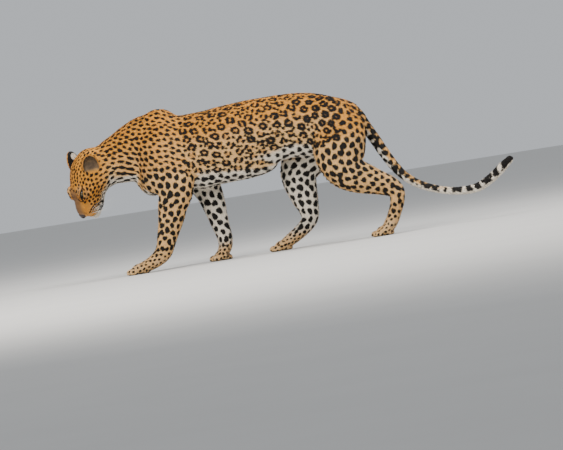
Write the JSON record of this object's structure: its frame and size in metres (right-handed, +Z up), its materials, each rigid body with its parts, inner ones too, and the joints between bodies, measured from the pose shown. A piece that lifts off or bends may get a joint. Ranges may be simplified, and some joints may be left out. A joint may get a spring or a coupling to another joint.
{
  "type": "leopard",
  "caption": "Life-size still leopard walking with its head low and its tail curled up at the tip, standing on four paws; a display animal.",
  "frame": {"origin": "on the floor, below the middle of the whole animal from its brow to the tip of its tail", "axes": "+X from the head to the tail, +Z up, -Y to the animal's left side"},
  "size_m": [1.5552, 0.2612, 0.5519],
  "materials": {
    "coat": "short fur, ochre with dark rosettes",
    "pale_coat": "short fur, off-white with dark spots",
    "nose_skin": "moist dark skin",
    "eye": "wet, glossy"
  },
  "bodies": {
    "root": {"head": "coat", "lower_jaw": "pale_coat", "nose_pad": "nose_skin", "eye_left": "eye", "eye_right": "eye", "ear_left": "coat", "ear_right": "coat", "neck": "coat", "torso": "coat", "tail_root": "coat", "tail_middle": "coat", "tail_tip": "pale_coat", "front_left_forearm": "coat", "front_left_paw": "coat", "front_right_forearm": "coat", "front_right_paw": "coat", "hind_left_thigh": "coat", "hind_left_shank": "coat", "hind_left_foot": "coat", "hind_right_thigh": "coat", "hind_right_shank": "coat", "hind_right_foot": "coat"}
  },
  "joints": []
}
